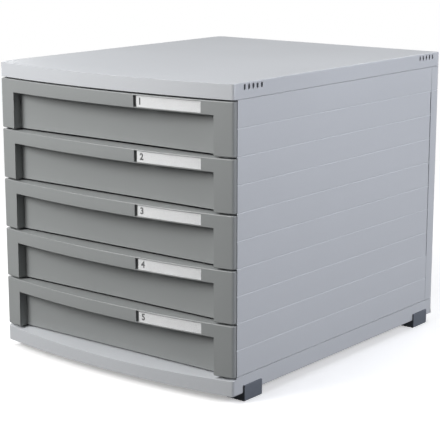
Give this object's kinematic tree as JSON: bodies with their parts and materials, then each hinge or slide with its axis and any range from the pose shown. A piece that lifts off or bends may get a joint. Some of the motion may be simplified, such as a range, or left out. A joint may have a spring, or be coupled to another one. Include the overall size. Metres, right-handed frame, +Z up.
{
  "type": "desktop file drawer box",
  "caption": "Desktop drawer box of moulded plastic for paper: a stackable housing with a bowed front, sliding trays with finger recesses and label holders, and small hooked feet.",
  "frame": {"origin": "on the table, under the middle of the box, feet included", "axes": "+X to the right seen from the front, +Y to the back, +Z up; the drawers open towards -Y"},
  "size_m": [0.2978, 0.368, 0.2952],
  "materials": {
    "housing_plastic": "fine-grained satin light grey polystyrene",
    "drawer_plastic": "fine-grained satin mid grey polystyrene",
    "foot_plastic": "matt dark grey soft plastic",
    "card_paper": "uncoated white card",
    "window_plastic": "clear glossy film"
  },
  "bodies": {
    "housing": {"top_cover": "housing_plastic", "base": "housing_plastic", "side_wall_left": "housing_plastic", "side_wall_right": "housing_plastic", "rear_panel": "housing_plastic", "foot_front_left": "foot_plastic", "foot_front_right": "foot_plastic", "foot_rear_left": "foot_plastic", "foot_rear_right": "foot_plastic"},
    "drawer_1": {"drawer_1": "drawer_plastic", "label_card_1": "card_paper", "label_window_1": "window_plastic"},
    "drawer_2": {"drawer_2": "drawer_plastic", "label_card_2": "card_paper", "label_window_2": "window_plastic"},
    "drawer_3": {"drawer_3": "drawer_plastic", "label_card_3": "card_paper", "label_window_3": "window_plastic"},
    "drawer_4": {"drawer_4": "drawer_plastic", "label_card_4": "card_paper", "label_window_4": "window_plastic"},
    "drawer_5": {"drawer_5": "drawer_plastic", "label_card_5": "card_paper", "label_window_5": "window_plastic"}
  },
  "joints": [
    {"name": "drawer_1_slide", "type": "slide", "parent": "housing", "child": "drawer_1", "axis": [0, -1, 0], "range_m": [0, 0.27]},
    {"name": "drawer_2_slide", "type": "slide", "parent": "housing", "child": "drawer_2", "axis": [0, -1, 0], "range_m": [0, 0.27]},
    {"name": "drawer_3_slide", "type": "slide", "parent": "housing", "child": "drawer_3", "axis": [0, -1, 0], "range_m": [0, 0.27]},
    {"name": "drawer_4_slide", "type": "slide", "parent": "housing", "child": "drawer_4", "axis": [0, -1, 0], "range_m": [0, 0.27]},
    {"name": "drawer_5_slide", "type": "slide", "parent": "housing", "child": "drawer_5", "axis": [0, -1, 0], "range_m": [0, 0.27]}
  ]
}
